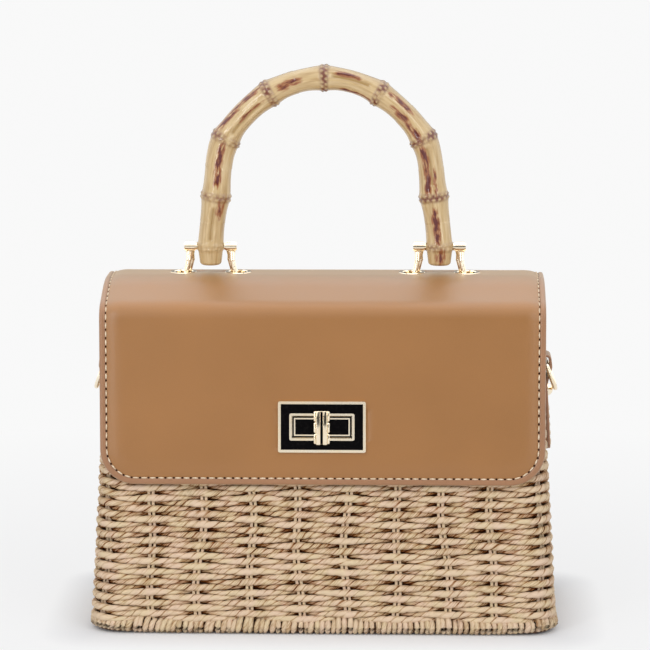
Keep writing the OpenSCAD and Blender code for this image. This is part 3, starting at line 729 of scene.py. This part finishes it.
def leather_panel(half, length, thick, corner, edge_steps, cuts):
    # A flat blank with x across, y from its rounded end to its plain end, and z outwards. Each edge step is
    # a distance from the edge, a height and a material: 0 is the face, 1 the seam's band, 2 the cut edge and
    # 3 the flesh side.
    spare = 30 * mm
    cut_across = 11 * mm
    far = length + spare
    blank = bmesh.new()
    spots = [blank.verts.new((x, y, -thick)) for x, y in ((-half, 0), (half, 0), (half, far), (-half, far))]
    blank.faces.new(spots)
    bmesh.ops.bevel(blank, geom=spots[:2], offset=corner, segments=12, profile=0.5, affect="VERTICES",
                    material=-1)
    blank.faces.ensure_lookup_table()
    blank.faces[0].material_index = 3
    grown = bmesh.ops.extrude_face_region(blank, geom=blank.faces[:])["geom"]
    top = [g for g in grown if isinstance(g, bmesh.types.BMFace)][0]
    for face in blank.faces:
        if face is not top and len(face.verts) == 4:
            face.material_index = 2
    before = 0
    for distance, height, material in edge_steps:
        if distance > 0:
            ring = bmesh.ops.inset_region(blank, faces=[top], thickness=(distance - before) * mm)["faces"]
            for face in ring:
                face.material_index = material
        for vert in top.verts:
            vert.co.z = height * mm
        before = distance
    top.material_index = 0

    def cut(place, way, **more):
        everything = blank.verts[:] + blank.edges[:] + blank.faces[:]
        bmesh.ops.bisect_plane(blank, geom=everything, plane_co=place, plane_no=way, **more)

    for y in cuts:
        cut((0, y, 0), (0, 1, 0))
    across = round(2 * half / cut_across)
    for i in range(1, across):
        cut((half * (2 * i / across - 1), 0, 0), (1, 0, 0))
    cut((0, length, 0), (0, 1, 0), clear_outer=True)
    closed = bmesh.ops.holes_fill(blank, edges=[e for e in blank.edges if e.is_boundary])["faces"]
    for face in closed:
        face.material_index = 2
    bmesh.ops.recalc_face_normals(blank, faces=blank.faces)
    return blank


def bend_panel(shape, place):
    # A flat blank brought to its own shape
    for vert in shape.verts:
        vert.co = place(*vert.co)
    bmesh.ops.recalc_face_normals(shape, faces=shape.faces)


def swaying_point(x, s, out):
    return flap_point(x, s, out + 0.12 * mm * math.sin(31 * x + 1.3) * math.sin(43 * s + 0.4))


seam_edge = [(0, -1.2, 2), (0.15, -0.75, 1), (0.45, -0.35, 1), (0.9, -0.1, 1), (1.7, 0.05, 1),
             (2.6, -0.05, 1), (3.1, -0.3, 1), (3.5, -0.5, 1), (3.9, -0.35, 0), (4.8, -0.08, 0),
             (5.8, 0.2, 0), (6.8, 0.44, 0), (7.8, 0.64, 0), (9, 0.82, 0), (10.5, 0.95, 0), (12, 1.02, 0),
             (14, 1.04, 0), (16.5, 1, 0)]
flat_cut = 8 * mm
bend_from = 85 * mm
bend_cut = 1.5 * mm
flap_cuts = [flat_cut * i for i in range(3, 11)]
flap_cuts += [bend_from + bend_cut * i for i in range(int((flap_line - bend_from) / bend_cut))]
flap_shape = leather_panel(flap_half, flap_line, flap_thick, flap_corner, seam_edge, flap_cuts)
bend_panel(flap_shape, swaying_point)
flap = finish_mesh("flap", flap_shape, [caramel, seam_band, painted_edge, suede])

# Four punched holes for the eyelets and the window for the lock.
half_span = sum(corner.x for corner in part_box("handle_pin_right")) / 2
eyelet_offset = 14.3 * mm
eyelet_places = [side * half_span + out * eyelet_offset for side in (-1, 1) for out in (-1, 1)]
hole_r = 5.3 * mm
punch_depth = 20 * mm
lock_place = (Matrix.Translation(joint_places["toggle_turn"])
              @ Matrix.Rotation(math.radians(90) - front_lean, 4, "X"))
lock_window = Matrix.Diagonal((36 * mm, 16.6 * mm, punch_depth, 1))
punch_shape = bmesh.new()
for x in eyelet_places:
    bmesh.ops.create_cone(punch_shape, cap_ends=True, segments=32, radius1=hole_r, radius2=hole_r,
                          depth=punch_depth, matrix=Matrix.Translation((x, 0, crest_z)))
bmesh.ops.create_cube(punch_shape, size=1, matrix=lock_place @ lock_window)
punch = finish_mesh("punch", punch_shape, [])
punching = flap.modifiers.new("punching", "BOOLEAN")
punching.operation = "DIFFERENCE"
punching.solver = "EXACT"
punching.object = punch
punched = bpy.data.meshes.new_from_object(flap.evaluated_get(bpy.context.evaluated_depsgraph_get()))
flap.modifiers.clear()
flap.data = punched
bpy.data.objects.remove(punch)
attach(flap, "flap")
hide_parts("flap_leather", "flap_backing")

# Seam of the flap: thick cream thread in single stitches along both sides and the lower edge. At the end of
# each stitch the thread goes down through a needle hole, a small near-black bead of painted shade.
thread, thread_tree, thread_shader = start_material("cream_thread", Roughness=0.6, Specular_IOR_Level=0.3)
speckle(thread_tree, thread_shader, 1500.0, (0.62, 0.47, 0.31), (0.86, 0.74, 0.57))
painted_hole_shade, hole_tree, hole_shader = start_material("needle_hole_painted_shade", Roughness=0.9, Specular_IOR_Level=0.1)
speckle(hole_tree, hole_shader, 800.0, (0.02, 0.008, 0.005), (0.06, 0.025, 0.014))


def lay_bead(shape, place, way, thick, length, material):
    made = bmesh.ops.create_uvsphere(shape, u_segments=6, v_segments=4, radius=1)
    turn = way.to_track_quat("Z", "Y").to_matrix().to_4x4()
    stretch = Matrix.Diagonal((thick, thick, length / 2, 1))
    bmesh.ops.transform(shape, matrix=Matrix.Translation(place) @ turn @ stretch, verts=made["verts"])
    for face in {f for v in made["verts"] for f in v.link_faces}:
        face.material_index = material


thread_r = 0.45 * mm
thread_rise = 0.14 * mm
needle_r = 0.6 * mm
needle_h = 0.34 * mm
needle_sink = 0.02 * mm
stitch_start = 0.14


def sew(name, line, line_at, pitch, place, height=-0.28 * mm):
    # Stitches along a seam on a flat blank, carried to the piece by its own place function
    shape = bmesh.new()
    count = round(line / pitch)
    for i in range(count):
        shares = (0, stitch_start, 1 - stitch_start)
        spots = [line_at(line * (i + share) / count)[0] for share in shares]
        hole, start, end = [place(spot.x, spot.y, height) for spot in spots]
        out = (place(spots[1].x, spots[1].y, height + mm) - start).normalized()
        lay_bead(shape, (start + end) / 2 + thread_rise * out, end - start, thread_r, (end - start).length, 0)
        # A small near-black bead paints the shade inside the needle hole
        lay_bead(shape, hole - needle_sink * out, out, needle_r, needle_h, 1)
    return finish_mesh(name, shape, [thread, painted_hole_shade], sharp=180)


inset = 3.5 * mm
stitch = 4.35 * mm
flap_seam, flap_seam_at = bent_line([(-flap_half + inset, flap_line), (-flap_half + inset, inset),
                                     (flap_half - inset, inset), (flap_half - inset, flap_line)],
                                    [15 * mm, 15 * mm])
flap_stitches = sew("flap_stitches", flap_seam, flap_seam_at, stitch, flap_point)
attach(flap_stitches, "flap")

# Back yoke and fold: the flap's leather carried on over the hinge fold and down the back wall, where it is
# sewn on.
yoke_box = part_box("back_yoke")
yoke_half = yoke_box[1].x
yoke_low = yoke_box[0].z
yoke_off = 2.9 * mm
yoke_thick = 1.75 * mm
yoke_corner = 12 * mm
fold_r = 2.2 * mm
fold_from = 40 * mm
widen_from = 146 * mm
widen_over = 26 * mm
widen_share = 0.078


def back_face(z):
    return half_depth(z) + yoke_off / math.cos(front_lean)


yoke_line, yoke_at = bent_line([flap_end, hinge, (back_face(yoke_low), yoke_low)], [fold_r])


def yoke_point(x, s, out):
    # Towards the fold the yoke widens, almost to the flap's own width
    place, side = yoke_at(yoke_line - s)
    share = min(max((place.y - widen_from) / widen_over, 0), 1)
    wide = 1 + widen_share * share * share * (3 - 2 * share)
    return Vector((x * wide, place.x + side.x * out, place.y + side.y * out))


yoke_cuts = [flat_cut * i for i in range(2, 5)]
yoke_cuts += [fold_from + mm * i for i in range(int((yoke_line - fold_from) / mm))]
yoke_edge = [(d, 0.6 * h, m) for d, h, m in seam_edge if d < 10]
yoke_shape = leather_panel(yoke_half, yoke_line, yoke_thick, yoke_corner, yoke_edge, yoke_cuts)
bend_panel(yoke_shape, yoke_point)
yoke = finish_mesh("back_panel", yoke_shape, [caramel, seam_band, painted_edge, suede])
yoke_side = yoke_half - inset
seam_top = 44 * mm
yoke_seam_corners = [(-yoke_side, seam_top), (-yoke_side, inset), (yoke_side, inset), (yoke_side, seam_top)]
yoke_seam, yoke_seam_at = bent_line(yoke_seam_corners, [9 * mm, 9 * mm])
yoke_stitches = sew("yoke_stitches", yoke_seam, yoke_seam_at, stitch, yoke_point, height=-0.16 * mm)
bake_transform(yoke)
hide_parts("back_yoke")
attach(yoke, "basket")
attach(yoke_stitches, "basket")

# Gold fittings: eyelets, posts, pins, plates, rivets and rings, all die cast and plated in pale gold.
# They are riveted or screwed through the leather and the wall.
gold, gold_tree, gold_shader = start_material("pale_gold", Metallic=1.0)
gold_smear = speckle(gold_tree, gold_shader, 160.0, (0.92, 0.77, 0.55), (0.97, 0.87, 0.70), detail=4.0)
gold_tree.links.new(carried(gold_tree, gold_smear, 0, 1, 0.08, 0.2), gold_shader.inputs["Roughness"])
dressed_nodes = ("woven_basket", "foot_braid", "rim_binding", "lining", "back_yoke", "flap_leather",
                 "flap_backing", "side_tab_left", "side_tab_right", "bamboo_handle", "lock_toggle")
for name, node in frame["nodes"].items():
    if name not in dressed_nodes:
        for held in node.material_slots:
            held.material = gold

# Turn lock: a gold plate whose faces are filled with black enamel between its raised edges.
# The enamel on the boss shows through the window, with a thin gold edge of its own.
enamel, enamel_tree, enamel_shader = start_material("black_enamel", Specular_IOR_Level=0.04)
enamel_dust = speckle(enamel_tree, enamel_shader, 700.0, (0.002, 0.0016, 0.002), (0.008, 0.007, 0.007),
                      detail=5.0, stops=(0.5, 0.85))
enamel_tree.links.new(carried(enamel_tree, enamel_dust, 0, 1, 0.06, 0.3), enamel_shader.inputs["Roughness"])


def lay_field(shape, outer, low, high, inner=None):
    # A flat field of enamel or metal, or a frame where inner gives the size of its opening
    spread = Matrix.Translation((0, 0, low * mm)) @ Matrix.Diagonal((outer[0] * mm, outer[1] * mm, 1, 1))
    made = bmesh.ops.create_grid(shape, x_segments=1, y_segments=1, size=0.5, matrix=spread)
    faces = list({f for v in made["verts"] for f in v.link_faces})
    if inner:
        ring = bmesh.ops.inset_region(shape, faces=faces, thickness=0.2 * mm, use_boundary=True)["faces"]
        for vert in faces[0].verts:
            vert.co.x = math.copysign(inner[0] / 2 * mm, vert.co.x)
            vert.co.y = math.copysign(inner[1] / 2 * mm, vert.co.y)
        bmesh.ops.delete(shape, geom=faces, context="FACES_ONLY")
        faces = ring
    grown = bmesh.ops.extrude_face_region(shape, geom=faces)["geom"]
    risen = [g for g in grown if isinstance(g, bmesh.types.BMVert)]
    bmesh.ops.translate(shape, verts=risen, vec=(0, 0, (high - low) * mm))


def lock_piece(name, shape, material, body):
    bmesh.ops.transform(shape, matrix=lock_place, verts=shape.verts)
    bmesh.ops.recalc_face_normals(shape, faces=shape.faces)
    made = finish_mesh(name, shape, [material])
    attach(made, body)
    return made


plate_enamel = bmesh.new()
lay_field(plate_enamel, (42.9, 24.3), 7.3, 7.62, inner=(33.0, 13.6))
lock_piece("plate_enamel", plate_enamel, enamel, "flap")
boss_enamel = bmesh.new()
lay_field(boss_enamel, (30.3, 10.9), 6.9, 7.12)
lock_piece("boss_enamel", boss_enamel, enamel, "basket")
boss_edge = bmesh.new()
lay_field(boss_edge, (28.7, 9.3), 6.9, 7.4, inner=(27.3, 7.9))
lock_piece("boss_edge", boss_edge, gold, "basket")

# Toggle: a turning bar with two long ribs, a black groove between them and scalloped wings. It is cast and
# plated, and turns on a stem in the boss.
toggle_low = 8.3
wing_pitch = 17.4 / 3
wing_size = (1.7, wing_pitch - 0.5, 2.2)
stem_r = 2.2 * mm
toggle_shape = bmesh.new()


def lay_block(shape, size, place, soft):
    made = bmesh.ops.create_cube(shape, size=1, matrix=Matrix.Translation([p * mm for p in place])
                                 @ Matrix.Diagonal((*[s * mm for s in size], 1)))
    edges = list({e for v in made["verts"] for e in v.link_edges})
    bmesh.ops.bevel(shape, geom=edges, offset=soft * mm, segments=3, profile=0.5, affect="EDGES", material=-1)


lay_block(toggle_shape, (6.6, 17, 1.8), (0, 0, toggle_low + 1.2), 0.3)
for side in (-1, 1):
    lay_block(toggle_shape, (2.2, 17.4, 3.2), (side * 1.7, 0, toggle_low + 2.2), 0.35)
    for part in (-1, 0, 1):
        lay_block(toggle_shape, wing_size, (side * 3.35, part * wing_pitch, toggle_low + 1.4), 0.7)
bmesh.ops.create_cone(toggle_shape, cap_ends=True, segments=24, radius1=stem_r, radius2=stem_r,
                      depth=4.6 * mm, matrix=Matrix.Translation((0, 0, (toggle_low - 1.8) * mm)))
toggle = lock_piece("turning_bar", toggle_shape, gold, "toggle")
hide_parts("lock_toggle")
groove_shape = bmesh.new()
lay_block(groove_shape, (1.3, 16.6, 0.6), (0, 0, toggle_low + 2.4), 0.1)
lock_piece("toggle_groove", groove_shape, enamel, "toggle")

# Side tabs: a strip of leather on each side, folded round the bar of its ring. Its two layers are sewn
# together and riveted to the wall, and the fold stands up loosely above the bar.
side_lean = math.atan((base_w - rim_w) / 2 / basket_h)
bar_out = 4 * mm
ring_z = joint_places["right_ring_swing"].z - bar_out * math.sin(side_lean)
tab_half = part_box("side_tab_right")[1].y
tab_thick = 1.4 * mm
tab_corner = 2.5 * mm
tab_corners = [(-45, 4.0), (-10.3, 4.0), (-1.4, 7.0), (5.6, 6.6), (5.6, 1.0), (-44.6, 1.0)]
tab_line, tab_at = bent_line([Vector(c) * mm for c in tab_corners], [8 * mm, 3 * mm, 2.7 * mm, 2.7 * mm])
tab_edge = [(0, -0.5, 2), (0.3, -0.14, 1), (0.9, 0, 1), (1.6, -0.1, 1), (2.0, -0.22, 1), (2.4, -0.1, 0),
            (3.2, 0, 0)]
tab_seam_corners = [(-4.75, 24), (-4.75, 2), (4.75, 2), (4.75, 24)]
tab_seam, tab_seam_at = bent_line([Vector(c) * mm for c in tab_seam_corners], [0.5 * mm, 0.5 * mm])
tab_cuts = [2 * mm + mm * i for i in range(int((tab_line - 2 * mm) / mm))]


def tab_place(side):
    # The place function of the tab on one side of the basket
    def point(x, s, out):
        place, away_from = tab_at(s)
        up, off = place.x + away_from.x * out, place.y + away_from.y * out
        lift = ring_z + up * math.cos(side_lean) + off * math.sin(side_lean)
        beyond = half_width(ring_z) - up * math.sin(side_lean) + off * math.cos(side_lean)
        return Vector((side * beyond, side * x, lift))

    return point


for name, side in (("left", -1), ("right", 1)):
    tab_point = tab_place(side)
    tab_shape = leather_panel(tab_half, tab_line, tab_thick, tab_corner, tab_edge, tab_cuts)
    bend_panel(tab_shape, tab_point)
    tab = finish_mesh(f"tab_{name}", tab_shape, [seam_band, seam_band, painted_edge, suede])
    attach(tab, "basket")
    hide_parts(f"side_tab_{name}")
    tab_stitches = sew(f"tab_stitches_{name}", tab_seam, tab_seam_at, stitch, tab_point, height=-0.16 * mm)
    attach(tab_stitches, "basket")

# Bamboo handle: a root cane bent over heat into an arch, and lacquered. Its knuckles are thick and ringed
# with root scars, and the flame has left red-brown streaks along the lengths between them.
handle_rise = 88.4 * mm
pin_z = joint_places["handle_swing"].z
knuckle_shares = [(1, 0), (0.95, 0.3), (0.856, 0.642), (0.474, 0.909), (0, 1)]
arch = []
for i in range(-4, 5):
    wide, high = knuckle_shares[4 - abs(i)]
    arch.append(Vector((math.copysign(wide, i) * half_span, pin_z + high * handle_rise)))
before_first = Vector((arch[0].x, 2 * arch[0].y - arch[1].y))
after_last = Vector((arch[-1].x, 2 * arch[-1].y - arch[-2].y))
guides = [before_first] + arch + [after_last]
segment_r = (6.65, 7.0, 6.3, 6.0, 5.9, 6.1, 6.6, 6.5)
ring_half = 2.3
ring_rise = 0.55
cane_step = 0.45 * mm
last_knuckle = len(arch) - 1
cane_places = []
for i in range(last_knuckle):
    a, b, c, d = guides[i:i + 4]
    span = (c - b).length
    steps = round(span / cane_step)
    for step in range(steps):
        t = step / steps
        spot = 2 * b + (c - a) * t + (2 * a - 5 * b + 4 * c - d) * t ** 2 + (3 * b - a - 3 * c + d) * t ** 3
        cane_places.append((spot / 2, i + t, (t if t < 0.5 else t - 1) * span / mm))
cane_places.append((arch[-1], last_knuckle, 0))


def knuckle_ring(off):
    # The ring's height, as a share of its full height, at a distance from the middle of its knuckle
    return np.exp(-(off / ring_half) ** 4)


def cane_radius(share, off):
    # Thickness at a place along the cane: its length between two knuckles, and the ring round the nearest one
    flanks = [i + side for i in range(last_knuckle) for side in (0.2, 0.8)]
    thick = np.interp(share, flanks, np.repeat(segment_r, 2))
    flare = 0.75 if 0.5 < share < last_knuckle - 0.5 else 0.25
    return thick + flare * math.exp(-(off / 6) ** 2) + ring_rise * knuckle_ring(off)


end_r = 6.85
end_taper = 0.12
round_from = 8.2
round_over = 1.6
round_in = 1.5


def end_radius(drop):
    # Thickness of a blunt end at a depth below its pin
    rounded = round_in * max(0, (drop - round_from) / round_over) ** 2
    return end_r - end_taper * drop + ring_rise * knuckle_ring(drop) - rounded


end_drops = [drop * cane_step / mm for drop in range(1, 22)]
end_span = 30


def end_rows(pin, share, way, drops):
    return [(pin.x, 0, pin.y - drop * mm, end_radius(drop), 0, share + way * drop / end_span, way * drop)
            for drop in drops]


cane_rows = end_rows(arch[0], 0, -1, end_drops[::-1])
cane_rows += [(spot.x, 0, spot.y, cane_radius(share, off), 0, share, off) for spot, share, off in cane_places]
cane_rows += end_rows(arch[-1], last_knuckle, 1, end_drops)
cane_rows = np.array(cane_rows)
cane_sides = 56
cane_section = round_points(mm, (1,) * cane_sides)
cane = swept_mesh("bamboo_cane", cane_section, [cane_rows[:, :5]], closed=False, twist="MINIMUM")
spots = np.empty(len(cane.data.vertices) * 3)
cane.data.vertices.foreach_get("co", spots)
centres = cane_rows[:, None, :3]
spokes = spots.reshape(len(cane_rows), cane_sides, 3) - centres

# Every point of the cane has a turn round it: 0 at the front, and a quarter of a circle on the arch's outer
# side.
way = np.gradient(cane_rows[:, :3], axis=0)
outer = np.column_stack([-way[:, 2], 0 * way[:, 0], way[:, 0]])
outer /= np.linalg.norm(outer, axis=1)[:, None]
turns = np.arctan2((spokes * outer[:, None, :]).sum(axis=2), -spokes[:, :, 1])
share, off = cane_rows[:, 5:6], cane_rows[:, 6:7]
girth = 6.6


def between(low, high, soft=0.06):
    # One inside a stretch of the cane that is given in knuckles, fading out at both ends
    return np.clip((share - low) / soft + 0.5, 0, 1) * np.clip((high - share) / soft + 0.5, 0, 1)


def from_turn(middle):
    # Distance round the cane from a line along it, in millimetres
    return girth * np.abs((turns - middle + math.pi) % (2 * math.pi) - math.pi)


# Two rows of root scars round each knuckle, and a bud groove along each length, on alternate sides.
knuckle = np.round(share)
beads = np.zeros_like(turns)
for row, shift in ((-1.15, 0), (1.15, math.pi)):
    around = (1 + np.cos(15 * turns + 2.3 * knuckle + shift)) / 2
    beads = np.maximum(beads, np.exp(-((off - row) / 0.85) ** 2) * around)
ring = knuckle_ring(off)
ring_stain = np.interp(share, range(last_knuckle + 1), (0.1, 0.6, 0.8, 1, 1, 1, 1, 0.9, 0.6))
buds = np.zeros_like(turns)
for i in range(last_knuckle):
    bud = from_turn(0.3 * math.sin(2.1 * i) + (math.pi if i % 2 else 0))
    buds += between(i + 0.14, i + 0.8) * (np.exp(-(bud / 1.1) ** 2) - 0.5 * np.exp(-((bud - 2.1) / 0.8) ** 2))
ovals = 0.15 * np.cos(2 * turns + 1.3 * knuckle)
relief = ovals + 0.6 * ring * (beads - 0.5) - 0.85 * buds
swollen = 1 + relief / cane_rows[:, 3:4]
cane.data.vertices.foreach_set("co", (centres + spokes * swollen[:, :, None]).ravel())
along = np.cumsum(np.linalg.norm(np.diff(cane_rows[:, :3], axis=0, prepend=cane_rows[:1, :3]), axis=1))
mark(cane, "cane", np.column_stack([np.repeat(along, cane_sides), (np.cos(turns) * girth * mm).ravel(),
                                    (np.sin(turns) * girth * mm).ravel()]))
# Knuckle colour: a real stain on the ring, and painted shade in the hollows between the root scars
mark(cane, "knuckle_stain_and_shade", (1.4 * ring_stain * ring * (1 - beads)).ravel())
mark(cane, "bud", np.clip(buds, 0, 1).ravel())

# Streaks of the flame: where each starts and ends in knuckles, its turn, its half width in millimetres and
# its depth. The same streaks lie on the back, in the opposite order.
streaks = [(0.6, 0.96, -0.5, 2.2, 0.8), (1.2, 1.93, 0.0, 2.0, 1), (2.04, 2.97, 0.95, 2.2, 1),
           (2.3, 2.9, -0.15, 1.2, 0.7), (3.15, 3.6, 0.1, 3.0, 0.7), (4.12, 4.7, 0.6, 1.6, 0.7),
           (4.3, 4.95, -0.9, 1.6, 0.8), (5.06, 5.6, 0.6, 1.8, 0.8), (5.3, 6.0, -0.25, 2.0, 1),
           (6.06, 6.95, -0.35, 2.0, 1), (6.5, 6.98, 0.25, 1.2, 0.8), (7.2, 7.93, -0.1, 2.2, 1),
           (8.02, 8.3, 0.1, 3.5, 0.8)]
back_turn = 2.7
streak_fade = 0.2
burns = np.zeros_like(turns)
for low, high, middle, half, depth in streaks:
    behind = (last_knuckle - high, last_knuckle - low, middle + back_turn)
    for start, end, turn in ((low, high, middle), behind):
        streak = depth * between(start, end, streak_fade) * np.exp(-(from_turn(turn) / half) ** 2)
        burns = np.maximum(burns, streak)
mark(cane, "burn", burns.ravel())
bamboo, bamboo_tree, bamboo_shader = start_material("lacquered_bamboo", Roughness=0.38,
                                                     Specular_IOR_Level=0.2, Coat_Weight=0.65,
                                                     Coat_IOR=1.6, Coat_Roughness=0.07)
cane_place = written(bamboo_tree, "cane", "Vector")


def cane_noise(stretch, scale, low, high):
    way = add_node(bamboo_tree, "ShaderNodeMapping", {"Vector": cane_place, "Scale": stretch}).outputs[0]
    return carried(bamboo_tree, noise(bamboo_tree, way, scale, detail=3.0), low, high)


cane_fibre = cane_noise((0.1, 1, 1), 700.0, 0.3, 0.7)
cane_colour = shades(bamboo_tree, cane_fibre, (0.0, (0.46, 0.30, 0.13)), (0.5, (0.585, 0.42, 0.21)),
                     (1.0, (0.66, 0.50, 0.28)))
cane_colour = laid_over(bamboo_tree, written(bamboo_tree, "bud"), cane_colour, (0.36, 0.22, 0.07, 1))
feather = sums(bamboo_tree, "MULTIPLY_ADD", cane_noise((0.22, 1, 1), 900.0, 0.35, 0.65), 1.0, 0.2)
feather = sums(bamboo_tree, "MULTIPLY_ADD", cane_noise((1, 1, 1), 150.0, 0.35, 0.65), 0.6, feather)
burn = sums(bamboo_tree, "MULTIPLY", written(bamboo_tree, "burn"), feather)
burn_edge = carried(bamboo_tree, burn, 0.25, 0.6)
burn_deep = carried(bamboo_tree, burn, 0.65, 1.0)
cane_colour = laid_over(bamboo_tree, burn_edge, cane_colour, (0.33, 0.125, 0.045, 1))
cane_colour = laid_over(bamboo_tree, burn_deep, cane_colour, (0.11, 0.014, 0.01, 1))
# Stain and painted shade on the knuckles, between the root scars
knuckle_stain_and_shade = sums(bamboo_tree, "MULTIPLY", written(bamboo_tree, "knuckle_stain_and_shade"), cane_noise((1, 1, 1), 170.0, 0.25, 0.6))
cane_colour = laid_over(bamboo_tree, knuckle_stain_and_shade, cane_colour, (0.17, 0.05, 0.025, 1))
bamboo_tree.links.new(cane_colour, bamboo_shader.inputs["Base Color"])
roughen(bamboo_tree, bamboo_shader, cane_fibre, 0.15, 0.0003)
cane.data.materials.append(bamboo)
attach(cane, "handle")
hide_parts("bamboo_handle")
